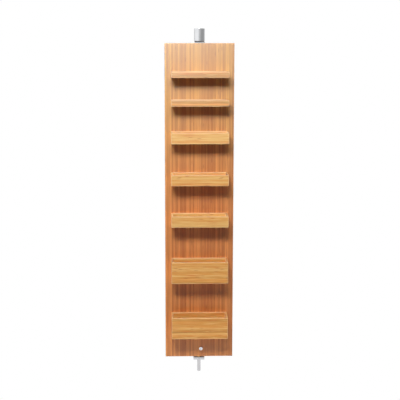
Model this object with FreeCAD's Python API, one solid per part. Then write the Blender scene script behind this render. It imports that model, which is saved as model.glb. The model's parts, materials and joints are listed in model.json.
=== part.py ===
import FreeCAD, Part
import math
import os

# Swivelling wall caddy: a tall bamboo board that turns between two wall brackets, with seven
# open trays on one face and a full-length mirror on the other.
# Millimetres. X runs across the board, +Y points into the wall, +Z is up, the trays face -Y.
# The origin is the middle of the lower wall plate's four screw holes, on the wall's face.

# ---- driving dimensions ------------------------------------------------------------------

# Board that everything hangs on.
BOARD_WIDTH = 350.0
BOARD_HEIGHT = 1625.0
BOARD_THICKNESS = 25.0
BOARD_EDGE_ROUND = 1.5

# Trays. Heights run from the lowest tray to the highest.
TRAY_SIDE_MARGIN = 32.0
TRAY_DEPTH = 112.0
DEEP_TRAY = 110.0
MEDIUM_TRAY = 55.0
SHALLOW_TRAY = 30.0
TRAY_HEIGHTS = (DEEP_TRAY, DEEP_TRAY, MEDIUM_TRAY, MEDIUM_TRAY, MEDIUM_TRAY, SHALLOW_TRAY, SHALLOW_TRAY)
BELOW_LOWEST_TRAY = 130.0
ABOVE_HIGHEST_FLOOR = 170.0
# The height between the lowest and the highest tray is shared out in these proportions.
PITCH_SHARES = (290.0, 290.0, 210.0, 210.0, 185.0, 140.0)
FRONT_THICKNESS = 14.0
BACK_THICKNESS = 14.0
END_THICKNESS = 8.0
FLOOR_THICKNESS = 8.0
FLOOR_RISE = 4.0
GROOVE_DEPTH = 3.5
TRAY_EDGE_ROUND = 1.2

# Small hardware of the trays.
DOWEL_RADIUS = 2.0
DOWEL_LENGTH = 14.0
DOWEL_IN_END = 5.0
DOWEL_INSET = 9.0
TRAY_SCREW_RADIUS = 2.0
TRAY_SCREW_BITE = 10.0
TRAY_SCREW_INSET = 25.0
COUNTERSUNK_HEAD_RADIUS = 4.0
COUNTERSUNK_HEAD_HEIGHT = 2.4

# Mirror on the reverse.
MIRROR_SIDE_MARGIN = 10.0
MIRROR_END_MARGIN = 16.0
MIRROR_THICKNESS = 4.0
MIRROR_BEVEL_WIDTH = 12.0
MIRROR_BEVEL_DEPTH = 0.8
TAPE_THICKNESS = 1.5
TAPE_WIDTH = 20.0
TAPE_COUNT = 4
TAPE_INSET = 30.0
CLIP_WIDTH = 18.0
CLIP_SHEET = 1.5
CLIP_LIP = 8.0
CLIP_FOOT = 11.0
CLIP_INSET = 60.0
CLIP_SCREW_RADIUS = 1.75
CLIP_SCREW_LENGTH = 16.0
CLIP_SCREW_HEAD_RADIUS = 3.5
CLIP_SCREW_HEAD_HEIGHT = 2.2

# Lower pivot: a steel spindle pushed up through the lower arm into the board's bush.
SPINDLE_RADIUS = 8.9
SPINDLE_DROP = 66.0
JOURNAL_RADIUS = 7.0
JOURNAL_RISE = 60.0
LOWER_BUSH_WALL = 2.0
LOWER_BUSH_LENGTH = 25.0
LOWER_BUSH_FLANGE_RADIUS = 13.0
LOWER_BUSH_FLANGE = 2.0
WASHER_RADIUS = 13.0
WASHER_THICKNESS = 2.0
KEEPER_HEIGHT = 43.0
KEEPER_OFFSET = 9.7
KEEPER_THREAD_RADIUS = 4.0
KEEPER_POINT_RADIUS = 3.5
KEEPER_GROOVE_DEPTH = 1.5
KEEPER_CAP_RADIUS = 9.5
KEEPER_CAP_HEIGHT = 6.0
KEEPER_INSERT_WALL = 1.6
KEEPER_PAST_AXIS = 6.0

# Lower bracket.
LOWER_ARM_WIDTH = 57.0
LOWER_ARM_THICKNESS = 12.0
LOWER_ARM_NOSE = 6.0
LOWER_ARM_CORNER = 3.0
LOWER_PLATE_HEIGHT = 105.0
LOWER_HOLES_ACROSS = 36.0
LOWER_HOLES_UP = 60.0
GRUB_RADIUS = 3.0
GRUB_LENGTH = 8.0
GRUB_SOCKET_RADIUS = 1.7
GRUB_SOCKET_DEPTH = 4.0

# Upper pivot: a pin on the board's top edge that turns in a bush inside the upper barrel.
PIVOT_PLATE_LENGTH = 54.0
PIVOT_PLATE_THICKNESS = 5.0
PIVOT_PLATE_INSET = 1.0
PIVOT_SCREW_SPACING = 36.0
PIVOT_SCREW_LENGTH = 35.0
PIN_RADIUS = 7.0
PIN_IN_BOARD = 40.0
PIN_IN_BARREL = 46.0
BARREL_RADIUS = 27.0
BARREL_HEIGHT = 56.0
BARREL_CHAMFER = 1.0
CAP_HEIGHT = 6.0
CAP_ROUND = 2.5
CAP_SPIGOT = 5.0
UPPER_BUSH_WALL = 5.0
UPPER_BUSH_FLANGE_RADIUS = 25.0
UPPER_BUSH_FLANGE = 4.0

# Upper bracket.
UPPER_ARM_WIDTH = 30.0
UPPER_ARM_THICKNESS = 12.0
UPPER_PLATE_WIDTH = 36.0
UPPER_PLATE_HEIGHT = 100.0
UPPER_PLATE_BELOW_CAP = 3.0
UPPER_HOLES_UP = 76.0

# Both wall plates.
PLATE_THICKNESS = 6.0
PLATE_CORNER = 4.0
WALL_HOLE_RADIUS = 3.25

# ---- fits and clearances -----------------------------------------------------------------

RUNNING_FIT = 0.05
GLUED_FIT = 0.05
SCREW_FIT = 0.1
FLOOR_FIT = 0.2
TURNING_GAP = 0.3
UPPER_TURNING_GAP = 1.0
BORE_GAP = 0.5
BORE_END_GAP = 4.0
CLIP_GAP = 0.3
WALL_CLEARANCE = 12.0

# ---- places worked out from the dimensions -----------------------------------------------

HALF_BOARD = BOARD_WIDTH / 2
HALF_THICK = BOARD_THICKNESS / 2
HALF_TRAY = HALF_BOARD - TRAY_SIDE_MARGIN
MIRROR_STAND = TAPE_THICKNESS + MIRROR_THICKNESS

# The board turns a full circle, so its axis stands off the wall by its widest corner and a gap.
TRAY_SWING = math.hypot(HALF_TRAY, HALF_THICK + TRAY_DEPTH)
MIRROR_SWING = math.hypot(HALF_BOARD, HALF_THICK + MIRROR_STAND)
AXIS_Y = -(max(TRAY_SWING, MIRROR_SWING) + WALL_CLEARANCE)
FRONT_Y = AXIS_Y - HALF_THICK
REAR_Y = AXIS_Y + HALF_THICK
TRAY_FACE_Y = FRONT_Y - TRAY_DEPTH

# The lower plate stands up from its arm, behind the board. Its holes are centred above the arm,
# and the origin is their middle.
LOWER_PLATE_TOP = (LOWER_PLATE_HEIGHT - LOWER_ARM_THICKNESS) / 2
LOWER_ARM_BOTTOM = LOWER_PLATE_TOP - LOWER_PLATE_HEIGHT
LOWER_ARM_TOP = LOWER_ARM_BOTTOM + LOWER_ARM_THICKNESS
BUSH_FLANGE_BOTTOM = LOWER_ARM_TOP + WASHER_THICKNESS + TURNING_GAP
BOARD_BOTTOM = BUSH_FLANGE_BOTTOM + LOWER_BUSH_FLANGE
BOARD_TOP = BOARD_BOTTOM + BOARD_HEIGHT
PIVOT_PLATE_TOP = BOARD_TOP + PIVOT_PLATE_THICKNESS
UPPER_BUSH_BOTTOM = PIVOT_PLATE_TOP + UPPER_TURNING_GAP
BARREL_BOTTOM = UPPER_BUSH_BOTTOM + UPPER_BUSH_FLANGE
BARREL_TOP = BARREL_BOTTOM + BARREL_HEIGHT
CAP_TOP = BARREL_TOP + CAP_HEIGHT
UPPER_ARM_MIDDLE = (BARREL_BOTTOM + BARREL_TOP) / 2
UPPER_PLATE_TOP = CAP_TOP - UPPER_PLATE_BELOW_CAP
UPPER_PLATE_BOTTOM = UPPER_PLATE_TOP - UPPER_PLATE_HEIGHT
UPPER_PLATE_MIDDLE = (UPPER_PLATE_TOP + UPPER_PLATE_BOTTOM) / 2

UPPER_BUSH_RADIUS = PIN_RADIUS + RUNNING_FIT + UPPER_BUSH_WALL
LOWER_BUSH_RADIUS = JOURNAL_RADIUS + RUNNING_FIT + LOWER_BUSH_WALL
SPINDLE_TOP = BOARD_BOTTOM + JOURNAL_RISE
SPINDLE_BOTTOM = LOWER_ARM_BOTTOM - SPINDLE_DROP
KEEPER_Z = BOARD_BOTTOM + KEEPER_HEIGHT

MIRROR_HALF = HALF_BOARD - MIRROR_SIDE_MARGIN
MIRROR_LOW = BOARD_BOTTOM + MIRROR_END_MARGIN
MIRROR_HIGH = BOARD_TOP - MIRROR_END_MARGIN

UP = FreeCAD.Vector(0, 0, 1)
ACROSS = FreeCAD.Vector(1, 0, 0)
TO_WALL = FreeCAD.Vector(0, 1, 0)

nodes = {}


# ---- small shape helpers -----------------------------------------------------------------

def box(x_low, x_high, y_low, y_high, z_low, z_high):
    """A block between two corners."""
    corner = FreeCAD.Vector(x_low, y_low, z_low)
    return Part.makeBox(x_high - x_low, y_high - y_low, z_high - z_low, corner)


def eased_box(x_low, x_high, y_low, y_high, z_low, z_high, radius):
    """A block with every edge rounded."""
    block = box(x_low, x_high, y_low, y_high, z_low, z_high)
    return block.makeFillet(radius, block.Edges)


def rod(radius, x, y, z, length, direction=UP):
    """A round bar that starts at a point and runs along a direction."""
    return Part.makeCylinder(radius, length, FreeCAD.Vector(x, y, z), direction)


def edges_along(shape, direction, chosen=None):
    """The straight edges of a shape that run along a direction, and pass a test of their middle."""
    found = []
    for edge in shape.Edges:
        run = edge.lastVertex().Point - edge.firstVertex().Point
        if run.Length > 0 and abs(run.normalize().dot(direction)) > 0.999:
            if chosen is None or chosen(edge.CenterOfMass):
                found.append(edge)
    return found


def turned(profile, x, y):
    """A solid of revolution about the vertical line through x, y. profile holds radius, height pairs."""
    points = [FreeCAD.Vector(x + radius, y, height) for radius, height in profile]
    outline = Part.makePolygon(points + [points[0]])
    return Part.Face(outline).revolve(FreeCAD.Vector(x, y, 0), UP, 360)


def countersunk_screw(shank, head, head_height, length, x, y, z, direction):
    """A wood screw. x, y, z is the middle of its head's flat face and direction points to its tip."""
    start = FreeCAD.Vector(x, y, z)
    cone = Part.makeCone(head, shank, head_height, start, direction)
    body = Part.makeCylinder(shank, length - shank, start, direction)
    tip = Part.makeCone(shank, shank / 4, shank, start + direction * (length - shank), direction)
    slot = Part.makeCylinder(head / 3, head_height / 2, start, direction)
    return cone.fuse(body).fuse(tip).cut(slot).removeSplitter()


# ---- tray layout -------------------------------------------------------------------------

def tray_bottoms():
    """The underside of every tray, lowest first."""
    shared = BOARD_HEIGHT - BELOW_LOWEST_TRAY - ABOVE_HIGHEST_FLOOR
    scale = shared / sum(PITCH_SHARES)
    height = BOARD_BOTTOM + BELOW_LOWEST_TRAY
    bottoms = [height]
    for share in PITCH_SHARES:
        height += share * scale
        bottoms.append(height)
    return bottoms


def fixing_heights(tray_height):
    """Heights of a tray's dowels and screws above its underside: one row, or two if there is room."""
    low = FLOOR_RISE + FLOOR_THICKNESS + DOWEL_INSET
    high = tray_height - DOWEL_INSET
    if high - low < DOWEL_INSET:
        return [(low + high) / 2]
    return [low, high]


# Trays are numbered from the top, as they are read on the wall.
TRAYS = []
for order, (tray_bottom, tray_height) in enumerate(zip(tray_bottoms(), TRAY_HEIGHTS)):
    TRAYS.append((f"tray_{len(TRAY_HEIGHTS) - order}", tray_bottom, tray_height))

FRONT_INNER_Y = TRAY_FACE_Y + FRONT_THICKNESS
BACK_INNER_Y = FRONT_Y - BACK_THICKNESS
BACK_MIDDLE_Y = FRONT_Y - BACK_THICKNESS / 2
END_INNER_X = HALF_TRAY - END_THICKNESS
END_MIDDLE_X = HALF_TRAY - END_THICKNESS / 2
TRAY_SCREW_X = END_INNER_X - TRAY_SCREW_INSET
TRAY_SCREW_LENGTH = BOARD_THICKNESS + TRAY_SCREW_BITE


def floor_groove(bottom):
    """The space that a tray's floor needs in the boards round it."""
    reach_x = END_INNER_X + GROOVE_DEPTH + FLOOR_FIT
    low = bottom + FLOOR_RISE - FLOOR_FIT / 2
    return box(-reach_x, reach_x, FRONT_INNER_Y - GROOVE_DEPTH - FLOOR_FIT,
               BACK_INNER_Y + GROOVE_DEPTH + FLOOR_FIT, low, low + FLOOR_THICKNESS + FLOOR_FIT)


def tray_dowels(bottom, height, radius, length, shift):
    """One tray's dowels, or the holes for them when radius and length are a little larger."""
    pieces = []
    for rise in fixing_heights(height):
        z = bottom + rise
        for side in (-1, 1):
            front_start = FRONT_INNER_Y - DOWEL_LENGTH / 2 - shift
            pieces.append(rod(radius, side * END_MIDDLE_X, front_start, z, length, TO_WALL))
            end_start = side * (END_INNER_X + DOWEL_IN_END + shift)
            pieces.append(rod(radius, end_start, BACK_MIDDLE_Y, z, length, ACROSS * -side))
    return pieces


def make_tray(name, bottom, height):
    """Front, back, two ends and a floor, grooved for the floor and bored for dowels and screws."""
    top = bottom + height
    holes = tray_dowels(bottom, height, DOWEL_RADIUS + GLUED_FIT, DOWEL_LENGTH + 2 * FLOOR_FIT, FLOOR_FIT)
    holes.append(floor_groove(bottom))
    for rise in fixing_heights(height):
        for side in (-1, 1):
            holes.append(rod(TRAY_SCREW_RADIUS + SCREW_FIT, side * TRAY_SCREW_X,
                             FRONT_Y - TRAY_SCREW_BITE - SCREW_FIT, bottom + rise,
                             TRAY_SCREW_BITE + SCREW_FIT, TO_WALL))
    tools = Part.makeCompound(holes)
    front = eased_box(-HALF_TRAY, HALF_TRAY, TRAY_FACE_Y, FRONT_INNER_Y, bottom, top, TRAY_EDGE_ROUND)
    back = eased_box(-END_INNER_X, END_INNER_X, BACK_INNER_Y, FRONT_Y, bottom, top, TRAY_EDGE_ROUND)
    nodes[name + "_front"] = front.cut(tools)
    nodes[name + "_back"] = back.cut(tools)
    for side_name, side in (("left", -1), ("right", 1)):
        low, high = sorted((side * END_INNER_X, side * HALF_TRAY))
        end = eased_box(low, high, FRONT_INNER_Y, FRONT_Y, bottom, top, TRAY_EDGE_ROUND)
        nodes[f"{name}_{side_name}_end"] = end.cut(tools)
    nodes[name + "_floor"] = box(-END_INNER_X - GROOVE_DEPTH, END_INNER_X + GROOVE_DEPTH,
                                 FRONT_INNER_Y - GROOVE_DEPTH, BACK_INNER_Y + GROOVE_DEPTH,
                                 bottom + FLOOR_RISE, bottom + FLOOR_RISE + FLOOR_THICKNESS)


def make_tray_hardware():
    """All dowels as one group, and all screws that come through the board as another."""
    dowels = []
    screws = []
    for _, bottom, height in TRAYS:
        dowels += tray_dowels(bottom, height, DOWEL_RADIUS, DOWEL_LENGTH, 0)
        for rise in fixing_heights(height):
            for side in (-1, 1):
                screws.append(countersunk_screw(TRAY_SCREW_RADIUS, COUNTERSUNK_HEAD_RADIUS,
                                                COUNTERSUNK_HEAD_HEIGHT, TRAY_SCREW_LENGTH,
                                                side * TRAY_SCREW_X, REAR_Y, bottom + rise, TO_WALL * -1))
    nodes["tray_dowels"] = Part.makeCompound(dowels)
    nodes["tray_screws"] = Part.makeCompound(screws)


# ---- pivots ------------------------------------------------------------------------------

LOWER_BORE_RADIUS = JOURNAL_RADIUS + BORE_GAP
KEEPER_X = KEEPER_OFFSET
KEEPER_INSERT_RADIUS = KEEPER_THREAD_RADIUS + KEEPER_INSERT_WALL
# The threaded insert stops where its inner side would break into the spindle's bore.
INSERT_REACH = math.sqrt(LOWER_BORE_RADIUS ** 2 - (KEEPER_OFFSET - KEEPER_INSERT_RADIUS) ** 2)
KEEPER_INSERT_LENGTH = HALF_THICK - INSERT_REACH - BORE_GAP
KEEPER_LENGTH = HALF_THICK + KEEPER_PAST_AXIS


def make_lower_pivot():
    """Spindle with its keeper groove, thrust washer, flanged bush, grub screw and keeper screw."""
    groove_radius = KEEPER_OFFSET - KEEPER_POINT_RADIUS - BORE_GAP
    groove_half = KEEPER_POINT_RADIUS + BORE_GAP
    bevel = 1.0
    profile = [(0, SPINDLE_BOTTOM), (SPINDLE_RADIUS - bevel, SPINDLE_BOTTOM),
               (SPINDLE_RADIUS, SPINDLE_BOTTOM + bevel), (SPINDLE_RADIUS, LOWER_ARM_TOP - bevel),
               (JOURNAL_RADIUS, LOWER_ARM_TOP - bevel), (JOURNAL_RADIUS, KEEPER_Z - groove_half),
               (groove_radius, KEEPER_Z - groove_half), (groove_radius, KEEPER_Z + groove_half),
               (JOURNAL_RADIUS, KEEPER_Z + groove_half), (JOURNAL_RADIUS, SPINDLE_TOP - bevel),
               (JOURNAL_RADIUS - bevel, SPINDLE_TOP), (0, SPINDLE_TOP)]
    nodes["lower_spindle"] = turned(profile, 0, AXIS_Y)

    washer = rod(WASHER_RADIUS, 0, AXIS_Y, LOWER_ARM_TOP, WASHER_THICKNESS)
    washer_hole = rod(JOURNAL_RADIUS + RUNNING_FIT * 2, 0, AXIS_Y, LOWER_ARM_TOP, WASHER_THICKNESS)
    nodes["thrust_washer"] = washer.cut(washer_hole)

    bush_bore = JOURNAL_RADIUS + RUNNING_FIT
    nodes["lower_bush"] = turned([(bush_bore, BUSH_FLANGE_BOTTOM), (LOWER_BUSH_FLANGE_RADIUS, BUSH_FLANGE_BOTTOM),
                                  (LOWER_BUSH_FLANGE_RADIUS, BOARD_BOTTOM), (LOWER_BUSH_RADIUS, BOARD_BOTTOM),
                                  (LOWER_BUSH_RADIUS, BOARD_BOTTOM + LOWER_BUSH_LENGTH),
                                  (bush_bore, BOARD_BOTTOM + LOWER_BUSH_LENGTH)], 0, AXIS_Y)

    grub_end = AXIS_Y - SPINDLE_RADIUS - GLUED_FIT
    grub_z = (LOWER_ARM_TOP + LOWER_ARM_BOTTOM) / 2
    grub = rod(GRUB_RADIUS, 0, grub_end - GRUB_LENGTH, grub_z, GRUB_LENGTH, TO_WALL)
    socket = Part.makePolygon([FreeCAD.Vector(GRUB_SOCKET_RADIUS * math.cos(math.radians(60 * k)),
                                              grub_end - GRUB_LENGTH,
                                              grub_z + GRUB_SOCKET_RADIUS * math.sin(math.radians(60 * k)))
                               for k in range(7)])
    nodes["spindle_grub_screw"] = grub.cut(Part.Face(socket).extrude(TO_WALL * GRUB_SOCKET_DEPTH))

    insert = rod(KEEPER_INSERT_RADIUS, KEEPER_X, FRONT_Y, KEEPER_Z, KEEPER_INSERT_LENGTH, TO_WALL)
    thread = rod(KEEPER_THREAD_RADIUS + GLUED_FIT, KEEPER_X, FRONT_Y, KEEPER_Z, KEEPER_INSERT_LENGTH, TO_WALL)
    nodes["keeper_insert"] = insert.cut(thread)

    cap = rod(KEEPER_CAP_RADIUS, KEEPER_X, FRONT_Y - KEEPER_CAP_HEIGHT, KEEPER_Z, KEEPER_CAP_HEIGHT, TO_WALL)
    rim = [edge for edge in cap.Edges if abs(edge.CenterOfMass.y - FRONT_Y + KEEPER_CAP_HEIGHT) < 0.01]
    cap = cap.makeFillet(KEEPER_CAP_HEIGHT / 2, rim)
    shank = rod(KEEPER_THREAD_RADIUS, KEEPER_X, FRONT_Y, KEEPER_Z, KEEPER_INSERT_LENGTH, TO_WALL)
    point = rod(KEEPER_POINT_RADIUS, KEEPER_X, FRONT_Y, KEEPER_Z, KEEPER_LENGTH, TO_WALL)
    nodes["keeper_screw"] = cap.fuse(shank).fuse(point).removeSplitter()


def make_upper_pivot():
    """Plate and pin on the board's top edge, and the barrel, bush and cap that they turn in."""
    half_plate = PIVOT_PLATE_LENGTH / 2
    plate = box(-half_plate, half_plate, FRONT_Y + PIVOT_PLATE_INSET, REAR_Y - PIVOT_PLATE_INSET,
                BOARD_TOP, PIVOT_PLATE_TOP)
    plate = plate.makeFillet(PLATE_CORNER, edges_along(plate, UP))
    plate = plate.cut(rod(PIN_RADIUS + GLUED_FIT, 0, AXIS_Y, BOARD_TOP, PIVOT_PLATE_THICKNESS))
    screws = []
    for side in (-1, 1):
        x = side * PIVOT_SCREW_SPACING / 2
        screws.append(countersunk_screw(TRAY_SCREW_RADIUS, COUNTERSUNK_HEAD_RADIUS, COUNTERSUNK_HEAD_HEIGHT,
                                        PIVOT_SCREW_LENGTH, x, AXIS_Y, PIVOT_PLATE_TOP, UP * -1))
        plate = plate.cut(Part.makeCone(COUNTERSUNK_HEAD_RADIUS + SCREW_FIT, TRAY_SCREW_RADIUS + SCREW_FIT,
                                        COUNTERSUNK_HEAD_HEIGHT, FreeCAD.Vector(x, AXIS_Y, PIVOT_PLATE_TOP),
                                        UP * -1))
        plate = plate.cut(rod(TRAY_SCREW_RADIUS + SCREW_FIT, x, AXIS_Y, BOARD_TOP, PIVOT_PLATE_THICKNESS))
    nodes["upper_pivot_plate"] = plate
    nodes["pivot_plate_screws"] = Part.makeCompound(screws)

    bevel = 1.0
    pin_bottom = BOARD_TOP - PIN_IN_BOARD
    pin_top = BARREL_BOTTOM + PIN_IN_BARREL
    nodes["upper_pivot_pin"] = turned([(0, pin_bottom), (PIN_RADIUS - bevel, pin_bottom),
                                       (PIN_RADIUS, pin_bottom + bevel), (PIN_RADIUS, pin_top - bevel),
                                       (PIN_RADIUS - bevel, pin_top), (0, pin_top)], 0, AXIS_Y)

    bush_bore = PIN_RADIUS + RUNNING_FIT
    bush_top = BARREL_TOP - CAP_SPIGOT
    nodes["barrel_bush"] = turned([(bush_bore, UPPER_BUSH_BOTTOM), (UPPER_BUSH_FLANGE_RADIUS, UPPER_BUSH_BOTTOM),
                                   (UPPER_BUSH_FLANGE_RADIUS, BARREL_BOTTOM), (UPPER_BUSH_RADIUS, BARREL_BOTTOM),
                                   (UPPER_BUSH_RADIUS, bush_top), (bush_bore, bush_top)], 0, AXIS_Y)

    barrel_bore = UPPER_BUSH_RADIUS + GLUED_FIT
    shoulder = BARREL_RADIUS - BARREL_CHAMFER
    nodes["upper_barrel"] = turned([(barrel_bore, BARREL_BOTTOM), (shoulder, BARREL_BOTTOM),
                                    (BARREL_RADIUS, BARREL_BOTTOM + BARREL_CHAMFER),
                                    (BARREL_RADIUS, BARREL_TOP - BARREL_CHAMFER / 2),
                                    (BARREL_RADIUS - BARREL_CHAMFER / 2, BARREL_TOP),
                                    (barrel_bore, BARREL_TOP)], 0, AXIS_Y)

    cap = rod(BARREL_RADIUS, 0, AXIS_Y, BARREL_TOP, CAP_HEIGHT)
    rim = [edge for edge in cap.Edges if abs(edge.CenterOfMass.z - CAP_TOP) < 0.01]
    cap = cap.makeFillet(CAP_ROUND, rim)
    spigot = rod(UPPER_BUSH_RADIUS, 0, AXIS_Y, BARREL_TOP - CAP_SPIGOT, CAP_SPIGOT)
    nodes["barrel_cap"] = cap.fuse(spigot).removeSplitter()


# ---- wall brackets -----------------------------------------------------------------------

def wall_plate(half_width, low, high, hole_places):
    """A wall plate with rounded corners and countersunk screw holes. hole_places holds x, z pairs."""
    plate = box(-half_width, half_width, -PLATE_THICKNESS, 0, low, high)
    plate = plate.makeFillet(PLATE_CORNER, edges_along(plate, TO_WALL))
    sink = PLATE_THICKNESS / 3
    for x, z in hole_places:
        face = FreeCAD.Vector(x, -PLATE_THICKNESS, z)
        plate = plate.cut(Part.makeCylinder(WALL_HOLE_RADIUS, PLATE_THICKNESS, face, TO_WALL))
        plate = plate.cut(Part.makeCone(WALL_HOLE_RADIUS + sink, WALL_HOLE_RADIUS, sink, face, TO_WALL))
    return plate


def make_lower_bracket():
    """Wall plate and flat arm under the board, welded as one, with the spindle's hole in its nose."""
    half = LOWER_ARM_WIDTH / 2
    across = LOWER_HOLES_ACROSS / 2
    up = LOWER_HOLES_UP / 2
    plate = wall_plate(half, LOWER_ARM_BOTTOM, LOWER_PLATE_TOP,
                       [(x, z) for x in (-across, across) for z in (-up, up)])
    nose = FRONT_Y - LOWER_ARM_NOSE
    arm = box(-half, half, nose, -PLATE_THICKNESS / 2, LOWER_ARM_BOTTOM, LOWER_ARM_TOP)
    arm = arm.makeFillet(LOWER_ARM_CORNER, edges_along(arm, UP, lambda middle: middle.y < AXIS_Y))
    arm = arm.cut(rod(SPINDLE_RADIUS + GLUED_FIT, 0, AXIS_Y, LOWER_ARM_BOTTOM, LOWER_ARM_THICKNESS))
    grub_z = (LOWER_ARM_TOP + LOWER_ARM_BOTTOM) / 2
    arm = arm.cut(rod(GRUB_RADIUS + GLUED_FIT, 0, nose, grub_z, AXIS_Y - nose, TO_WALL))
    nodes["lower_bracket"] = plate.fuse(arm).removeSplitter()


def make_upper_bracket():
    """Wall plate and flat arm whose end is hollowed to the barrel that is brazed to it."""
    half_arm = UPPER_ARM_WIDTH / 2
    half_up = UPPER_HOLES_UP / 2
    plate = wall_plate(UPPER_PLATE_WIDTH / 2, UPPER_PLATE_BOTTOM, UPPER_PLATE_TOP,
                       [(0, UPPER_PLATE_MIDDLE - half_up), (0, UPPER_PLATE_MIDDLE + half_up)])
    arm = box(-half_arm, half_arm, AXIS_Y, -PLATE_THICKNESS / 2,
              UPPER_ARM_MIDDLE - UPPER_ARM_THICKNESS / 2, UPPER_ARM_MIDDLE + UPPER_ARM_THICKNESS / 2)
    arm = arm.cut(rod(BARREL_RADIUS, 0, AXIS_Y, BARREL_BOTTOM, BARREL_HEIGHT))
    nodes["upper_bracket"] = plate.fuse(arm).removeSplitter()


# ---- mirror ------------------------------------------------------------------------------

CLIP_X = MIRROR_HALF - CLIP_INSET
CLIP_SCREW_RISE = CLIP_GAP + CLIP_SHEET + (CLIP_FOOT - CLIP_SHEET) / 2


def clip_places():
    """Where each mirror clip stands: x, the mirror edge's height, and which way is outwards."""
    return [(x, edge, outwards) for edge, outwards in ((MIRROR_LOW, -1), (MIRROR_HIGH, 1))
            for x in (-CLIP_X, CLIP_X)]


def make_clip(x, edge, outwards):
    """A Z-shaped sheet clip: foot on the board, riser past the glass edge, lip over the glass."""
    half = CLIP_WIDTH / 2
    lip_y = REAR_Y + MIRROR_STAND + CLIP_GAP

    def slab(near, far, y_low, y_high):
        low, high = sorted((edge + outwards * near, edge + outwards * far))
        return box(x - half, x + half, y_low, y_high, low, high)

    foot = slab(CLIP_GAP, CLIP_GAP + CLIP_FOOT, REAR_Y, REAR_Y + CLIP_SHEET)
    riser = slab(CLIP_GAP, CLIP_GAP + CLIP_SHEET, REAR_Y, lip_y + CLIP_SHEET)
    lip = slab(-CLIP_LIP, CLIP_GAP + CLIP_SHEET, lip_y, lip_y + CLIP_SHEET)
    clip = foot.fuse(riser).fuse(lip).removeSplitter()
    clip = clip.makeFillet(CLIP_SHEET / 3, edges_along(clip, ACROSS))
    hole_z = edge + outwards * CLIP_SCREW_RISE
    return clip.cut(rod(CLIP_SCREW_RADIUS + SCREW_FIT, x, REAR_Y, hole_z, CLIP_SHEET, TO_WALL))


def make_clip_screw(x, edge, outwards):
    """A pan-head screw through a clip's foot into the board."""
    z = edge + outwards * CLIP_SCREW_RISE
    head = rod(CLIP_SCREW_HEAD_RADIUS, x, REAR_Y + CLIP_SHEET, z, CLIP_SCREW_HEAD_HEIGHT, TO_WALL)
    top = REAR_Y + CLIP_SHEET + CLIP_SCREW_HEAD_HEIGHT
    rim = [edge_curve for edge_curve in head.Edges if abs(edge_curve.CenterOfMass.y - top) < 0.01]
    head = head.makeFillet(CLIP_SCREW_HEAD_HEIGHT / 2, rim)
    head = head.cut(rod(CLIP_SCREW_HEAD_RADIUS / 3, x, top - CLIP_SCREW_HEAD_HEIGHT / 2, z,
                        CLIP_SCREW_HEAD_HEIGHT, TO_WALL))
    start = REAR_Y + CLIP_SHEET - CLIP_SCREW_LENGTH
    shank = rod(CLIP_SCREW_RADIUS, x, start, z, CLIP_SCREW_LENGTH, TO_WALL)
    return head.fuse(shank).removeSplitter()


def make_mirror():
    """Bevelled glass on strips of foam tape, held at top and bottom by four clips."""
    back = REAR_Y + TAPE_THICKNESS
    shoulder = back + MIRROR_THICKNESS - MIRROR_BEVEL_DEPTH
    height = MIRROR_HIGH - MIRROR_LOW
    slab = box(-MIRROR_HALF, MIRROR_HALF, back, shoulder, MIRROR_LOW, MIRROR_HIGH)
    bevel = Part.makeWedge(-MIRROR_HALF, 0, 0, MIRROR_BEVEL_WIDTH, -MIRROR_HALF + MIRROR_BEVEL_WIDTH,
                           MIRROR_HALF, MIRROR_BEVEL_DEPTH, height, height - MIRROR_BEVEL_WIDTH,
                           MIRROR_HALF - MIRROR_BEVEL_WIDTH)
    bevel.translate(FreeCAD.Vector(0, shoulder, MIRROR_LOW))
    nodes["mirror_glass"] = slab.fuse(bevel).removeSplitter()

    strips = []
    first = -MIRROR_HALF + TAPE_INSET
    step = (2 * MIRROR_HALF - 2 * TAPE_INSET) / (TAPE_COUNT - 1)
    for number in range(TAPE_COUNT):
        x = first + number * step
        strips.append(box(x - TAPE_WIDTH / 2, x + TAPE_WIDTH / 2, REAR_Y, back,
                          MIRROR_LOW + TAPE_INSET, MIRROR_HIGH - TAPE_INSET))
    nodes["mirror_tape"] = Part.makeCompound(strips)
    nodes["mirror_clips"] = Part.makeCompound([make_clip(*place) for place in clip_places()])
    nodes["mirror_clip_screws"] = Part.makeCompound([make_clip_screw(*place) for place in clip_places()])


# ---- board -------------------------------------------------------------------------------

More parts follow.
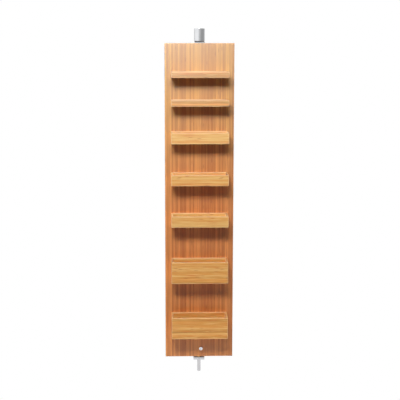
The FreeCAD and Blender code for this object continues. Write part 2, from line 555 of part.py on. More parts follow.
def make_board():
    """The laminated board with its pivot bores, keeper hole and screw holes."""
    board = eased_box(-HALF_BOARD, HALF_BOARD, FRONT_Y, REAR_Y, BOARD_BOTTOM, BOARD_TOP, BOARD_EDGE_ROUND)
    holes = [
        rod(LOWER_BUSH_RADIUS + GLUED_FIT, 0, AXIS_Y, BOARD_BOTTOM, LOWER_BUSH_LENGTH),
        rod(LOWER_BORE_RADIUS, 0, AXIS_Y, BOARD_BOTTOM, JOURNAL_RISE + BORE_END_GAP),
        rod(PIN_RADIUS + GLUED_FIT, 0, AXIS_Y, BOARD_TOP - PIN_IN_BOARD, PIN_IN_BOARD),
        rod(KEEPER_INSERT_RADIUS + GLUED_FIT, KEEPER_X, FRONT_Y, KEEPER_Z, KEEPER_INSERT_LENGTH, TO_WALL),
        rod(KEEPER_POINT_RADIUS + SCREW_FIT, KEEPER_X, FRONT_Y, KEEPER_Z, KEEPER_LENGTH, TO_WALL),
    ]
    for _, bottom, height in TRAYS:
        for rise in fixing_heights(height):
            for side in (-1, 1):
                head = FreeCAD.Vector(side * TRAY_SCREW_X, REAR_Y, bottom + rise)
                holes.append(Part.makeCone(COUNTERSUNK_HEAD_RADIUS + SCREW_FIT, TRAY_SCREW_RADIUS + SCREW_FIT,
                                           COUNTERSUNK_HEAD_HEIGHT, head, TO_WALL * -1))
                holes.append(Part.makeCylinder(TRAY_SCREW_RADIUS + SCREW_FIT, BOARD_THICKNESS, head,
                                               TO_WALL * -1))
    for side in (-1, 1):
        holes.append(rod(TRAY_SCREW_RADIUS + SCREW_FIT, side * PIVOT_SCREW_SPACING / 2, AXIS_Y,
                         PIVOT_PLATE_TOP - PIVOT_SCREW_LENGTH - SCREW_FIT, PIVOT_SCREW_LENGTH))
    for x, edge, outwards in clip_places():
        holes.append(rod(CLIP_SCREW_RADIUS + SCREW_FIT, x, REAR_Y, edge + outwards * CLIP_SCREW_RISE,
                         CLIP_SCREW_LENGTH - CLIP_SHEET + SCREW_FIT, TO_WALL * -1))
    nodes["backboard"] = board.cut(Part.makeCompound(holes))


# ---- build and write ---------------------------------------------------------------------

make_board()
for tray_name, tray_bottom, tray_height in TRAYS:
    make_tray(tray_name, tray_bottom, tray_height)
make_tray_hardware()
make_mirror()
make_lower_pivot()
make_upper_pivot()
make_lower_bracket()
make_upper_bracket()

os.makedirs("parts", exist_ok=True)
for node_name, shape in nodes.items():
    shape.exportStep(f"parts/{node_name}.step")
print(len(nodes), "nodes; axis at y", round(AXIS_Y, 2), "board", BOARD_BOTTOM, "to", BOARD_TOP,
      "upper plate middle", UPPER_PLATE_MIDDLE)
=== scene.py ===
"""Looks of the swivelling wall caddy: wooden boards, turned metal, finishes, light and camera.

Metres, in the part's own frame: +X to the right seen from the room, +Y into the wall, +Z up.
"""
import json
import math
import bpy
import numpy as np
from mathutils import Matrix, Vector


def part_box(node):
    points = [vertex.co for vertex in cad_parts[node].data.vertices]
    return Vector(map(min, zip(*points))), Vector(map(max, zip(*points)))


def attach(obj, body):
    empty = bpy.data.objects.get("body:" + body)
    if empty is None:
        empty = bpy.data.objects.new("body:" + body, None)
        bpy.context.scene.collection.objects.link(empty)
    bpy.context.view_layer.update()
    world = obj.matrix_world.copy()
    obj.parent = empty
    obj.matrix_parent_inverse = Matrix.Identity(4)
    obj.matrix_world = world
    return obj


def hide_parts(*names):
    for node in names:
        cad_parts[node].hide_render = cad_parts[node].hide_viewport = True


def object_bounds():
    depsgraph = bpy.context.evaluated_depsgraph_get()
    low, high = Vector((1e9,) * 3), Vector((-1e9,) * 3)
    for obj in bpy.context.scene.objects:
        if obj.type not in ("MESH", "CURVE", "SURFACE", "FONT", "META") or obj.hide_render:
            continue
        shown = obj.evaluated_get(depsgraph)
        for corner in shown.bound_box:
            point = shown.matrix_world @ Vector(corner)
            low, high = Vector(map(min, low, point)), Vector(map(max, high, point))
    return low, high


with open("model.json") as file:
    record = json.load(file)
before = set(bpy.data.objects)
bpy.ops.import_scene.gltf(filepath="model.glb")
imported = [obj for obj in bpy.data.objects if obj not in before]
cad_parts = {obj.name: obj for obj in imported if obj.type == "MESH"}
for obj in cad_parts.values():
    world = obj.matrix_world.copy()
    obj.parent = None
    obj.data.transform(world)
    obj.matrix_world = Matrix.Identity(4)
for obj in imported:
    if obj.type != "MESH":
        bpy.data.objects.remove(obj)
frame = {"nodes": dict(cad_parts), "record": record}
cad_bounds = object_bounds()

# ---- sizes that the frame's boxes don't give ---------------------------------------------

BOARD_EASE = 0.0015
TRAY_EASE = 0.0012
WEAR_REACH = 0.004
EASE_STEPS = 3

BOARD_STRIP = 0.0083
TRAY_STRIP = 0.0092
TRAY_LAYER = 0.0055
RING_SPACING = 0.21

TURNED_SEGMENTS = 96
CORNER_POINTS = 5

BARREL_BORE = 0.0121
BARREL_EDGE = 0.0004
CAP_ROUND = 0.0025
CAP_SPIGOT = 0.005
BUSH_BORE = 0.00705
BUSH_BODY = 0.01205
BUSH_FLANGE = 0.004
BUSH_EDGE = 0.0006
KEEPER_ROUND = 0.003
KEEPER_DISH = 0.0046
KEEPER_SOCKET = 0.0021
KEEPER_SOCKET_DEPTH = 0.0035
KEEPER_SHANK = 0.004
KEEPER_POINT = 0.0035

# The tone of each tray's wood, from the highest tray down: 0 is dark amber and 1 is pale honey.
TRAY_TONES = (0.02, 0.0, 0.98, 0.80, 1.10, 0.66, 0.55)

# ---- light and camera --------------------------------------------------------------------

AMBIENT = (0.006, 0.006, 0.10)
FLOOR_DROP = 0.25
FLOOR_HALF = 8.0

# Each lamp's place and aim, both from the middle of the board's front bottom edge (right, back
# and up), then its width and height, and its power.
KEY = ((-0.42, -2.62, 2.72), (0.0, 0.0, 0.55), (1.2, 0.66))
LAMPS = {
    "key": (*KEY, 88.0),
    "sheen": (*KEY, 520.0),
    "rim_light": ((-0.2, -0.35, 3.525), (0.0, -0.05, 0.6), (0.9, 0.3), 14.0),
    "low_fill": ((0.0, -0.45, -0.292), (0.0, 0.0, 0.1), (0.7, 0.4), 1.5),
    "floor_sheen": ((-0.3, -1.6, -0.282), (-0.3, -1.2, 2.042), (2.6, 2.0), 11.0),
    "left_wash": ((-3.2, 1.114, 1.412), (0.0, 0.012, 0.812), (1.2, 2.0), 30.0),
    "right_wash": ((3.2, 1.114, 1.412), (0.0, 0.012, 0.812), (1.2, 2.0), 30.0),
    "back_wash": ((0.5, 3.214, 2.012), (0.0, 0.012, 0.812), (1.2, 2.0), 45.0),
}
GLOSS_LAMPS = ("sheen", "floor_sheen")
WASH_LAMPS = ("left_wash", "right_wash", "back_wash")
WOOD_LAMPS = ("sheen", "rim_light", "low_fill", "floor_sheen")

CAMERA_LEFT = -0.170
CAMERA_BACK = 4.540
CAMERA_UP = 1.588
CAMERA_TILT = 8.56
CAMERA_TURN = 1.47
LENS = 81.0
SHIFT_X = 0.028
SHIFT_Y = -0.035

BODY_OF = {node: body for body, members in frame["record"]["behaviour"]["bodies"].items()
           for node in members}


# ---- shader maths ------------------------------------------------------------------------

class Value:
    """An output of a shader node. Python's operators on it add Math nodes."""

    def __init__(self, graph, socket):
        self.graph = graph
        self.socket = socket

    def part(self, index):
        """Another output of the same node."""
        return Value(self.graph, self.socket.node.outputs[index])

    def apply(self, operation, *others):
        """A Math node of this value and the others."""
        return self.graph.node("Math", {"operation": operation}, dict(enumerate((self, *others))))

    def split(self):
        """The three numbers of a vector."""
        x = self.graph.node("SeparateXYZ", {}, {0: self})
        return x, x.part(1), x.part(2)

    def rise(self, low, high):
        """0 below low, 1 above high and a smooth step between them."""
        return self.graph.node("MapRange", {"interpolation_type": "SMOOTHSTEP"},
                               {"Value": self, "From Min": low, "From Max": high})

    def __add__(self, other):
        return self.apply("ADD", other)

    __radd__ = __add__

    def __mul__(self, other):
        return self.apply("MULTIPLY", other)

    __rmul__ = __mul__

    def __sub__(self, other):
        return self.apply("SUBTRACT", other)

    def __rsub__(self, other):
        return self * -1 + other

    def __truediv__(self, other):
        return self.apply("DIVIDE", other)


class Graph:
    """A node tree that is being built."""

    def __init__(self, tree):
        self.tree = tree

    def node(self, kind, settings, inputs, output=0):
        """Adds a node: its settings first, then its sockets' values or links."""
        made = self.tree.nodes.new("ShaderNode" + kind)
        for name, value in settings.items():
            setattr(made, name, value)
        for socket, value in inputs.items():
            if isinstance(value, Value):
                self.tree.links.new(value.socket, made.inputs[socket])
            else:
                made.inputs[socket].default_value = value
        return Value(self, made.outputs[output])

    def mix(self, share, first, second, blend="MIX"):
        """The first colour where share is 0, the second (or its product) where it is 1."""
        settings = {"data_type": "RGBA", "blend_type": blend}
        return self.node("Mix", settings, {0: share, 6: first, 7: second}, 2)


class Finish(Graph):
    """A material that is being made, with the Principled shader that its nodes feed."""

    def __init__(self, name, constants):
        self.material = bpy.data.materials.new(name)
        self.material.use_nodes = True
        super().__init__(self.material.node_tree)
        self.shader = self.tree.nodes["Principled BSDF"]
        for socket, value in constants.items():
            self.shader.inputs[socket].default_value = value

    def place(self):
        """Object coordinates, which are the part's own frame."""
        return self.node("TexCoord", {}, {}, "Object")

    def vector(self, x, y, z):
        return self.node("CombineXYZ", {}, {0: x, 1: y, 2: z})

    def noise(self, vector, scale, detail=2.0):
        """Soft noise from 0 to 1, about 0.5 on average."""
        return self.node("TexNoise", {}, {"Vector": vector, "Scale": scale, "Detail": detail})

    def feed(self, socket, value):
        self.tree.links.new(value.socket, self.shader.inputs[socket])

    def bump(self, height, depth, strength=1.0):
        """Bends the normal as if the surface stood up by height times depth."""
        made = self.node("Bump", {}, {"Height": height, "Distance": depth, "Strength": strength})
        self.feed("Normal", made)


# ---- finishes ----------------------------------------------------------------------------

def rgba(red, green, blue):
    return (red, green, blue, 1.0)


LACQUER = {"Coat Weight": 0.06, "Coat Roughness": 0.34, "Specular IOR Level": 0.36}


def fibres(finish, along, across, depth):
    """Streaks a finger long, bands as long as a hand, and fine fibres, all along the grain."""
    streaks = finish.noise(finish.vector(along * 9.0, across * 310.0, depth * 310.0), 1.0, 3.0)
    bands = finish.noise(finish.vector(along * 4.0, across * 90.0, depth * 90.0), 1.0, 2.0)
    fine = finish.noise(finish.vector(along * 26.0, across * 1500.0, depth * 1500.0), 1.0, 2.0)
    return streaks, bands, fine


def strips(finish, across, width, layer):
    """Three random numbers for each strip of wood, and how near its glue line is, up to 1."""
    beat = across / width
    cell = finish.vector(beat.apply("FLOOR"), layer, 3.0)
    random = finish.node("TexWhiteNoise", {"noise_dimensions": "3D"}, {"Vector": cell}, 1)
    return random.split(), (beat.apply("FRACT") - 0.5).apply("ABSOLUTE") * 2


def culm_nodes(finish, along, across, width, chance, fine):
    """Dark dashes where the stem had its rings, once in a while along each strip."""
    beat = across / width
    random = finish.node("TexWhiteNoise", {"noise_dimensions": "2D"},
                         {"Vector": finish.vector(beat.apply("FLOOR"), chance, 0.0)})
    beat_along = (along / RING_SPACING + random * 9.0).apply("FRACT")
    lengthways = (beat_along - 0.5).apply("ABSOLUTE") * RING_SPACING
    sideways = (beat.apply("FRACT") - 0.5).apply("ABSOLUTE")
    dash = (1 - lengthways.rise(0.002, 0.016)) * (1 - sideways.rise(0.15, 0.48))
    return dash * fine.rise(0.25, 0.60)


def worn_edge(finish, fine):
    """How much an eased edge is rubbed, broken up by the fibres."""
    wear = finish.node("Attribute", {"attribute_name": "wear"}, {}, "Fac")
    return (wear * (0.45 + fine)).rise(0.35, 1.0)


def end_grain(finish, grain):
    """1 on a face that is cut across the grain, in the piece's own coordinates."""
    normal = finish.node("TexCoord", {}, {}, "Normal")
    return normal.split()["xyz".index(grain)].apply("ABSOLUTE").rise(0.6, 0.9)


def lacquered(finish, colour, streaks, fine, marks, worn, cut):
    """Feeds the wood's shader. Fibres stand up and marks lie lower; wear and cut ends are dull."""
    finish.feed("Base Color", colour)
    finish.feed("Roughness", 0.37 + (streaks - 0.5) * 0.2 + worn * 0.30 + cut * 0.12)
    finish.bump(fine * 0.5 + streaks * 0.3 - marks, 0.00025, 0.6)


def tray_bamboo(grain):
    """Light oiled bamboo: strips along the grain, pale and reddish streaks, dark node dashes."""
    finish = Finish("tray_bamboo_" + grain, LACQUER)
    x, y, z = finish.place().split()
    along, across, depth = {"x": (x, z, y), "y": (y, z, x)}[grain]
    streaks, bands, fine = fibres(finish, along, across, depth)
    (random, hue, shade), glue = strips(finish, across, TRAY_STRIP,
                                          (depth / TRAY_LAYER).apply("FLOOR"))
    tray = finish.node("Attribute", {"attribute_name": "tone"}, {}, "Fac")
    tone = tray + (random - 0.5) * 0.85 + (bands - 0.5) * 0.7 + (fine - 0.5) * 0.35
    colour = finish.mix(tone.rise(-0.15, 0.55), rgba(0.49, 0.222, 0.036), rgba(0.78, 0.342, 0.058))
    colour = finish.mix(tone.rise(0.45, 1.15), colour, rgba(0.82, 0.475, 0.125))
    red = streaks.rise(0.51, 0.68) * (0.38 + hue * 0.50)
    colour = finish.mix(red, colour, rgba(0.70, 0.200, 0.026))
    pale = (1 - streaks.rise(0.32, 0.49)) * (0.32 + shade * 0.55)
    colour = finish.mix(pale, colour, rgba(0.92, 0.60, 0.20))
    seam = glue.rise(0.84, 1.0)
    colour = finish.mix(seam * 0.30, colour, rgba(0.50, 0.13, 0.020))
    dashes = culm_nodes(finish, along, across, TRAY_STRIP * 0.62, 5.0, fine)
    dashes = dashes * shade.rise(0.45, 0.80)
    colour = finish.mix(dashes * 0.80, colour, rgba(0.50, 0.120, 0.018))
    cut = end_grain(finish, grain)
    colour = finish.mix(cut * (0.35 + (fine - 0.5)), colour, rgba(0.36, 0.150, 0.040))
    worn = worn_edge(finish, fine)
    colour = finish.mix(worn * 0.50, colour, rgba(0.93, 0.66, 0.30))
    lacquered(finish, colour, streaks, fine, seam * 0.35 + dashes * 0.3, worn, cut)
    return finish.material


def board_bamboo():
    """Caramel bamboo of narrow upright strips with thin dark glue lines, and a painted sheen that
    makes it yellower towards the top.
    """
    finish = Finish("board_bamboo", LACQUER)
    x, y, z = finish.place().split()
    streaks, bands, fine = fibres(finish, z, x, y)
    (random, hue, shade), glue = strips(finish, x, BOARD_STRIP, 4.0)
    cloud = finish.noise(finish.vector(x * 9.0, y * 9.0, z * 3.0), 1.0)
    tone = (0.5 + (random - 0.5) * 0.85 + (bands - 0.5) * 1.0 + (fine - 0.5) * 0.3
            + (cloud - 0.5) * 0.3)
    colour = finish.mix(tone.rise(-0.2, 1.2), rgba(0.51, 0.153, 0.030), rgba(0.78, 0.300, 0.066))
    colour = finish.mix(streaks.rise(0.52, 0.74) * (0.25 + hue * 0.4), colour,
                        rgba(0.42, 0.105, 0.012))
    colour = finish.mix((1 - streaks.rise(0.28, 0.45)) * shade * 0.5, colour,
                        rgba(0.88, 0.40, 0.085))
    seam = glue.rise(0.80, 1.0)
    colour = finish.mix(seam * shade * 0.60, colour, rgba(0.24, 0.060, 0.010))
    # painted sheen: the colour turns yellower towards the top of the board, where the lamps' glare
    # falls
    colour = finish.mix(z.rise(0.60, 1.50), colour, rgba(0.88, 1.19, 0.96), "MULTIPLY")
    dashes = culm_nodes(finish, z, x, BOARD_STRIP, 2.0, fine) * hue.rise(0.6, 0.9)
    colour = finish.mix(dashes * 0.4, colour, rgba(0.26, 0.062, 0.010))
    cut = end_grain(finish, "z")
    colour = finish.mix(cut * (0.35 + (fine - 0.5)), colour, rgba(0.28, 0.10, 0.025))
    worn = worn_edge(finish, fine)
    colour = finish.mix(worn * 0.35, colour, rgba(0.80, 0.42, 0.14))
    lacquered(finish, colour, streaks, fine, seam * 0.4 + dashes * 0.3, worn, cut)
    return finish.material


def beech():
    """Pale turned dowel wood with short flecks."""
    finish = Finish("beech", {})
    x, y, z = finish.place().split()
    fleck = finish.noise(finish.vector(x * 900.0, y * 900.0, z * 900.0), 1.0)
    finish.feed("Base Color", finish.mix(fleck, rgba(0.50, 0.33, 0.19), rgba(0.68, 0.50, 0.31)))
    finish.feed("Roughness", 0.5 + fleck * 0.2)
    finish.bump(fleck, 0.0002)
    return finish.material


def polished(name, colour, roughness, smear):
    """Bright plated metal: cloudy smears of gloss, hair scratches and a trace of handling."""
    finish = Finish(name, {"Metallic": 1.0})
    place = finish.place()
    x, y, z = place.split()
    cloud = finish.noise(place, 45.0, 4.0)
    hairs = finish.noise(finish.vector(x * 2600.0, y * 2600.0, z * 160.0), 1.0, 2.0)
    dull = tuple(0.86 * part for part in colour)
    finish.feed("Base Color", finish.mix(cloud.rise(0.45, 0.75) * 0.5, rgba(*colour), rgba(*dull)))
    finish.feed("Roughness", roughness + (cloud - 0.4) * smear + hairs.rise(0.62, 0.8) * smear)
    finish.bump(hairs * 0.4 + cloud, 0.00004, 0.5)
    return finish.material


def satin(name, colour, roughness, lay):
    """Brushed or ground steel: fine lines along lay, and patches that are brushed less."""
    finish = Finish(name, {"Metallic": 1.0})
    place = finish.place()
    stretched = [value * (60.0 if axis == lay else 1800.0)
                 for axis, value in zip("xyz", place.split())]
    lines = finish.noise(finish.vector(*stretched), 1.0, 3.0)
    patch = finish.noise(place, 22.0, 3.0)
    dull = tuple(0.78 * part for part in colour)
    shade = (lines * 0.6 + patch * 0.4).rise(0.3, 0.7)
    finish.feed("Base Color", finish.mix(shade, rgba(*dull), rgba(*colour)))
    finish.feed("Roughness", roughness + (lines - 0.5) * 0.22 + (patch - 0.5) * 0.12)
    finish.bump(lines, 0.00003, 0.3)
    return finish.material


def moulded(name, colour, roughness, grain):
    """Moulded plastic or foam: a fine grain, cloudy roughness and a slightly uneven colour."""
    finish = Finish(name, {"Specular IOR Level": 0.4})
    place = finish.place()
    pores = finish.node("TexVoronoi", {}, {"Vector": place, "Scale": grain})
    cloud = finish.noise(place, 60.0, 3.0)
    dark = tuple(0.7 * part for part in colour)
    finish.feed("Base Color", finish.mix(cloud.rise(0.3, 0.7), rgba(*dark), rgba(*colour)))
    finish.feed("Roughness", roughness + (cloud - 0.5) * 0.2)
    finish.bump(pores, 0.0001, 0.5)
    return finish.material


def mirror_silver():
    """Silvered glass: almost no blur, with a faint wipe of haze."""
    finish = Finish("mirror", {"Metallic": 1.0})
    place = finish.place()
    x, y, z = place.split()
    haze = finish.noise(finish.vector(x * 7.0, y, z * 2.0), 1.0, 5.0)
    finish.feed("Base Color", finish.mix(haze.rise(0.5, 0.8) * 0.3, rgba(0.86, 0.90, 0.89),
                                         rgba(0.80, 0.83, 0.84)))
    finish.feed("Roughness", 0.01 + haze.rise(0.5, 0.85) * 0.05)
    finish.bump(haze, 0.00002, 0.1)
    return finish.material


# ---- mesh helpers ------------------------------------------------------------------------

def add_piece(name, points, faces, material, node):
    """A smooth mesh that stands in for a CAD node: it takes its body and its place."""
    mesh = bpy.data.meshes.new(name)
    mesh.from_pydata(points.tolist(), [], faces)
    mesh.polygons.foreach_set("use_smooth", np.ones(len(mesh.polygons), bool))
    mesh.materials.append(material)
    piece = bpy.data.objects.new(name, mesh)
    bpy.context.scene.collection.objects.link(piece)
    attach(piece, BODY_OF[node])
    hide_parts(node)
    return piece


def eased_board(node, ease, material, tone=0.5):
    """A board with rounded edges that fills a CAD node's box, with its wear and tone attributes.

    Each side is a grid whose lines crowd at the edges. A grid point is pulled to the rounded
    surface: the nearest point of the box shrunk by ease, plus ease along the line between the
    two. Wear is 1 on the rounding and falls to 0 at WEAR_REACH from it, by the second smallest
    of the three distances to the box's sides. Tone is how light this board's wood is.
    """
    low, high = (np.array(corner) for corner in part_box(node))
    rounding = ease * (1 - np.tan(np.linspace(math.pi / 4, 0, EASE_STEPS + 1)))
    lines = []
    for start, end in zip(low, high):
        margin = np.append(rounding, min(ease + WEAR_REACH, 0.45 * (end - start)))
        lines.append(np.concatenate((start + margin, end - margin[::-1])))
    corners = []
    for axis in range(3):
        first, second = (axis + 1) % 3, (axis + 2) % 3
        for end, level in ((0, low[axis]), (1, high[axis])):
            grid = np.empty((len(lines[first]), len(lines[second]), 3))
            grid[..., axis] = level
            grid[..., first] = lines[first][:, None]
            grid[..., second] = lines[second][None, :]
            quads = np.stack((grid[:-1, :-1], grid[1:, :-1], grid[1:, 1:], grid[:-1, 1:]), 2)
            corners.append((quads if end else quads[:, :, ::-1]).reshape(-1, 4, 3))
    flat = np.concatenate(corners).reshape(-1, 3)
    _, chosen, index = np.unique(np.round(flat, 7), axis=0, return_index=True, return_inverse=True)
    cube = flat[chosen]
    inner = np.clip(cube, low + ease, high - ease)
    offset = cube - inner
    points = inner + ease * offset / np.linalg.norm(offset, axis=1, keepdims=True)
    nearest = np.sort(np.minimum(points - low, high - points), axis=1)[:, 1]
    wear = np.clip(1 - (nearest - ease) / WEAR_REACH, 0, 1)
    piece = add_piece(node + "_board", points, index.reshape(-1, 4).tolist(), material, node)
    for attribute, value in (("wear", wear), ("tone", np.full(len(points), tone))):
        piece.data.attributes.new(attribute, "FLOAT", "POINT").data.foreach_set("value", value)
    return piece


def softened(outline):
    """A closed outline whose corners are small parabolas between support points.

    outline is (radius, height, round) for each corner. The reach along both sides is round, or
    0.45 of a shorter side. Towards the neighbour before, a point stands at reach times (1 - t)
    squared, and towards the one after, at t squared.
    """
    outline = np.array(outline, float)
    corners = outline[:, :2]
    before = np.roll(corners, 1, axis=0) - corners
    after = np.roll(corners, -1, axis=0) - corners
    length_before = np.linalg.norm(before, axis=1)
    length_after = np.linalg.norm(after, axis=1)
    reach = np.minimum(outline[:, 2], 0.45 * np.minimum(length_before, length_after))
    t = np.linspace(0, 1, CORNER_POINTS)
    back = np.concatenate(([1.08], (1 - t) ** 2, [0]))
    on = np.concatenate(([0], t ** 2, [1.08]))
    points = (corners[:, None]
              + back[None, :, None] * (before * (reach / length_before)[:, None])[:, None]
              + on[None, :, None] * (after * (reach / length_after)[:, None])[:, None])
    return points.reshape(-1, 2)


def turned(name, node, outline, material, lathe="z"):
    """A solid turned about the lathe axis through a CAD node's middle.

    outline is a closed loop of corners, run with the metal on its left. Each ring of the mesh
    is the loop at one angle, and the last ring joins the first. Points on the axis meet.
    """
    low, high = (np.array(corner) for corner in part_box(node))
    middle = (low + high) / 2
    loop = softened(outline)
    angle = np.linspace(0, 2 * math.pi, TURNED_SEGMENTS, endpoint=False)[:, None]
    radius, height = np.maximum(loop[:, 0], 0)[None], np.repeat(loop[None, :, 1], len(angle), 0)
    first, second = radius * np.cos(angle), radius * np.sin(angle)
    if lathe == "z":
        rings = np.stack((middle[0] + first, middle[1] + second, height), 2)
    else:
        rings = np.stack((middle[0] + first, height, middle[2] - second), 2)
    number = np.arange(rings.shape[0] * rings.shape[1]).reshape(rings.shape[:2])
    turn, rise = np.roll(number, -1, 0), np.roll(number, -1, 1)
    both = np.roll(turn, -1, 1)
    quads = np.stack((number, turn, both, rise), 2).reshape(-1, 4)
    return add_piece(name, rings.reshape(-1, 3), quads.tolist(), material, node)


# ---- pieces ------------------------------------------------------------------------------

def make_boards(finishes):
    """The swivelling board, and the front, back, ends and floor of each tray."""
    eased_board("backboard", BOARD_EASE, finishes["board"])
    for tray, tone in enumerate(TRAY_TONES, 1):
        for part, grain in (("front", "x"), ("back", "x"), ("floor", "x"),
                            ("left_end", "y"), ("right_end", "y")):
            node = f"tray_{tray}_{part}"
            eased_board(node, TRAY_EASE, finishes["tray_" + grain], tone)


def make_upper_pivot(finishes):
    """Barrel, cap and bush at the top."""
    low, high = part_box("upper_barrel")
    radius = (high.x - low.x) / 2
    turned("barrel_shell", "upper_barrel",
           [(BARREL_BORE, low.z, BARREL_EDGE), (radius, low.z, 2 * BARREL_EDGE),
            (radius, high.z, BARREL_EDGE), (BARREL_BORE, high.z, BARREL_EDGE)],
           finishes["chrome"])
    low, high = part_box("barrel_cap")
    rim = low.z + CAP_SPIGOT
    turned("barrel_lid", "barrel_cap",
           [(0, low.z, 0), (BUSH_BODY, low.z, BARREL_EDGE), (BUSH_BODY, rim, 0),
            (radius, rim, BARREL_EDGE), (radius, high.z, CAP_ROUND), (0, high.z, 0)],
           finishes["chrome"])
    low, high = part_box("barrel_bush")
    flange = (high.x - low.x) / 2
    shoulder = low.z + BUSH_FLANGE
    turned("barrel_bearing", "barrel_bush",
           [(BUSH_BORE, low.z, BUSH_EDGE), (flange, low.z, BUSH_EDGE),
            (flange, shoulder, BUSH_EDGE), (BUSH_BODY, shoulder, BUSH_EDGE),
            (BUSH_BODY, high.z, BUSH_EDGE), (BUSH_BORE, high.z, BUSH_EDGE)],
           finishes["nylon"])


def make_keeper(finishes):
    """The screw that holds the board down: a shank and a domed cap, dished round its socket."""
    low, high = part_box("keeper_screw")
    radius = (high.x - low.x) / 2
    socket = low.y + KEEPER_SOCKET_DEPTH
    face, shoulder = (corner.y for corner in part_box("keeper_insert"))
    turned("keeper_cap", "keeper_screw",
           [(0, socket, 0), (KEEPER_SOCKET, socket, 0.0003),
            (KEEPER_SOCKET, low.y + 0.0012, 0.0004), (KEEPER_DISH, low.y, 0.0012),
            (radius, low.y, KEEPER_ROUND), (radius, face, 0.0003), (KEEPER_SHANK, face, 0),
            (KEEPER_SHANK, shoulder, 0.0003), (KEEPER_POINT, shoulder, 0.0003),
            (KEEPER_POINT, high.y, 0.0008), (0, high.y, 0)],
           finishes["chrome"], lathe="y")


def dress_frame(finishes):
    """Gives every CAD node that is shown its finish."""
    for finish, nodes in {
            "steel": ("lower_bracket", "upper_bracket"),
            "spindle": ("lower_spindle", "upper_pivot_pin"),
            "chrome": ("upper_pivot_plate", "mirror_clips"),
            "screws": ("spindle_grub_screw", "tray_screws", "mirror_clip_screws",
                       "pivot_plate_screws"),
            "nylon": ("thrust_washer",),
            "brass": ("lower_bush", "keeper_insert"),
            "beech": ("tray_dowels",),
            "tape": ("mirror_tape",),
            "mirror": ("mirror_glass",)}.items():
        for node in nodes:
            for slot in frame["nodes"][node].material_slots:
                slot.material = finishes[finish]


# ---- light, ground and camera ------------------------------------------------------------

def wall_glow(x, y, z):
    """How bright shiny surfaces see the studio's wall in a direction of length 1.

    It is brightest on the left and behind the part, and there lighter towards the ceiling.
    """
    front = 0.32 + 0.22 * (1 - x.rise(-0.1, 0.8)) + 0.34 * (1 - x.rise(-0.6, 0.0))
    behind = y.rise(0.1, 0.75)
    return front * (1 - behind) + behind * (0.60 + 0.35 * z.rise(-0.2, 0.7))


def add_floor(level):
    """A plain pale floor that looks white and lights the part like pale paint.

    Shiny surfaces see it glow, and far away it fades into the walls.
    """
    corners = [(x * FLOOR_HALF, y * FLOOR_HALF, level)
               for x, y in ((-1, -1), (1, -1), (1, 1), (-1, 1))]
    mesh = bpy.data.meshes.new("floor")
    mesh.from_pydata(corners, [], [(0, 1, 2, 3)])
    floor = bpy.data.objects.new("floor", mesh)
    bpy.context.scene.collection.objects.link(floor)
    paint = Finish("floor_paint", {"Base Color": rgba(0.62, 0.62, 0.62), "Roughness": 0.8})
    seen = paint.node("LightPath", {}, {}, "Is Camera Ray")
    mirrored = seen.part(3)
    x, y, z = paint.place().split()
    distance = (x * x + y * y + z * z).apply("SQRT")
    wall = wall_glow(x / distance, y / distance, z / distance)
    shine = paint.mix(distance.rise(1.5, 7.0), rgba(0.80, 0.80, 0.80), wall)
    glow = paint.node("Emission", {}, {0: paint.mix(seen, shine, rgba(1, 1, 1))})
    both = paint.node("MixShader", {}, {0: seen + mirrored, 2: glow})
    paint.tree.links.new(paint.shader.outputs[0], both.socket.node.inputs[1])
    paint.tree.links.new(both.socket, paint.tree.nodes["Material Output"].inputs[0])
    mesh.materials.append(paint.material)


def add_studio():
    """White backdrop, a dim bluish room for matt surfaces and pale walls for shiny ones."""
    world = bpy.data.worlds.new("studio")
    world.use_nodes = True
    bpy.context.scene.world = world
    room = Graph(world.node_tree)
    path = room.node("LightPath", {}, {}, "Is Camera Ray")
    walls = wall_glow(*room.node("TexCoord", {}, {}, "Generated").split())
    shiny = room.mix(path.part(3), rgba(*AMBIENT), walls)
    room.tree.links.new(room.mix(path, shiny, rgba(1, 1, 1)).socket,
                        room.tree.nodes["Background"].inputs[0])


def add_softbox(name, place, target, size, power):
    """A soft light of the given width and height at place that points at target."""
    lamp = bpy.data.lights.new(name, "AREA")
    lamp.shape = "RECTANGLE"
    lamp.size, lamp.size_y = size
    lamp.energy = power
    light = bpy.data.objects.new(name, lamp)
    bpy.context.scene.collection.objects.link(light)
    light.location = place
    light.rotation_euler = (target - place).to_track_quat("-Z", "Y").to_euler()
    light.visible_camera = False
    return light


def light_only(name, pieces, lights):
    """Makes the lights fall on the given pieces and on nothing else."""
    lit = bpy.data.collections.new(name)
    for piece in pieces:
        lit.objects.link(piece)
    for light in lights:
        light.light_linking.receiver_collection = lit


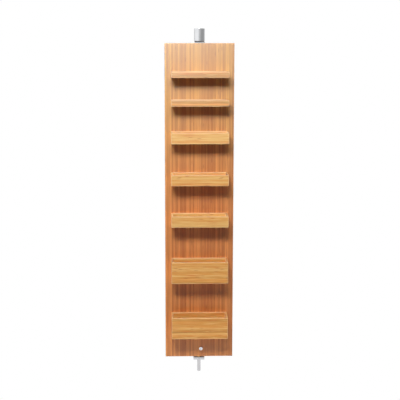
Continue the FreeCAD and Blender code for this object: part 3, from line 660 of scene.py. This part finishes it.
def add_lights(board_front, board_foot):
    """All lamps. The wood's own lamps leave the metal alone, and the washes leave the floor."""
    origin = Vector((0.0, board_front, board_foot))
    lights = {}
    for name, (place, aim, size, power) in LAMPS.items():
        light = add_softbox(name, origin + Vector(place), origin + Vector(aim), size, power)
        light.visible_diffuse = name not in GLOSS_LAMPS
        light.visible_glossy = name not in WASH_LAMPS
        lights[name] = light
    whole = [piece for piece in bpy.data.objects
             if piece.type == "MESH" and piece.name != "floor"]
    boards = [piece for piece in whole if piece.name.endswith("_board")]
    light_only("whole_part", whole, [lights[name] for name in WASH_LAMPS])
    light_only("lacquered_wood", boards, [lights[name] for name in WOOD_LAMPS])


def add_camera(board_front, board_foot):
    """A long lens a little left of the part and above its middle, looking slightly down."""
    lens = bpy.data.cameras.new("camera")
    lens.lens = LENS
    lens.shift_x = SHIFT_X
    lens.shift_y = SHIFT_Y
    camera = bpy.data.objects.new("camera", lens)
    bpy.context.scene.collection.objects.link(camera)
    camera.location = (CAMERA_LEFT, board_front - CAMERA_BACK, board_foot + CAMERA_UP)
    camera.rotation_euler = (math.radians(90 - CAMERA_TILT), 0, math.radians(-CAMERA_TURN))
    bpy.context.scene.camera = camera


finishes = {
    "board": board_bamboo(),
    "tray_x": tray_bamboo("x"),
    "tray_y": tray_bamboo("y"),
    "beech": beech(),
    "chrome": polished("chrome", (0.93, 0.94, 0.96), 0.07, 0.10),
    "spindle": satin("spindle_steel", (0.88, 0.87, 0.89), 0.22, "x"),
    "steel": satin("bracket_steel", (0.88, 0.88, 0.90), 0.30, "y"),
    "screws": polished("screw_steel", (0.72, 0.72, 0.73), 0.20, 0.20),
    "brass": polished("brass", (0.80, 0.58, 0.28), 0.22, 0.20),
    "nylon": moulded("dark_nylon", (0.045, 0.045, 0.05), 0.48, 2500.0),
    "tape": moulded("foam_tape", (0.72, 0.72, 0.70), 0.85, 1400.0),
    "mirror": mirror_silver(),
}
make_boards(finishes)
make_upper_pivot(finishes)
make_keeper(finishes)
dress_frame(finishes)

board_low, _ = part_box("backboard")
add_floor(cad_bounds[0].z - FLOOR_DROP)
add_studio()
add_lights(board_low.y, board_low.z)
add_camera(board_low.y, board_low.z)
bpy.context.scene.view_settings.view_transform = "Standard"
